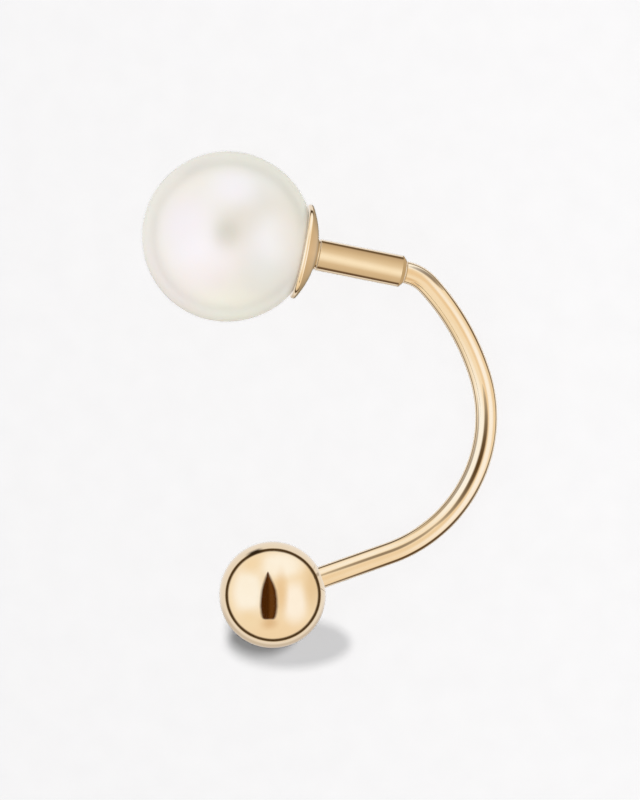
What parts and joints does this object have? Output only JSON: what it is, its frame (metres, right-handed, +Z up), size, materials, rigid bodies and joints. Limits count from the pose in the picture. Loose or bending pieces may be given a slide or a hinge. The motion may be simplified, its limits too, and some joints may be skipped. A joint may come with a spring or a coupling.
{
  "type": "ear jacket earring",
  "caption": "Ear jacket earring: a pearl stud plugs into a sleeve whose curved wire bows round behind the ear lobe to a polished gold ball below.",
  "frame": {"origin": "middle of the outline at the level of the surface the earring lies on", "axes": "+Y from the ball towards the pearl, +X from the pearl towards the back of the bow, +Z up from the surface"},
  "size_m": [0.013, 0.0188, 0.0064],
  "materials": {
    "pearl": "pearl lustre",
    "gold": "polished"
  },
  "bodies": {
    "jacket": {"sleeve": "gold", "ear_wire": "gold", "ball": "gold"},
    "stud": {"pearl": "pearl", "pearl_cup": "gold"}
  },
  "joints": [
    {"name": "stud_pull", "type": "slide", "parent": "jacket", "child": "stud", "axis": [-0.9489, 0.1972, 0.2464], "range_m": [0, 0.012]}
  ]
}
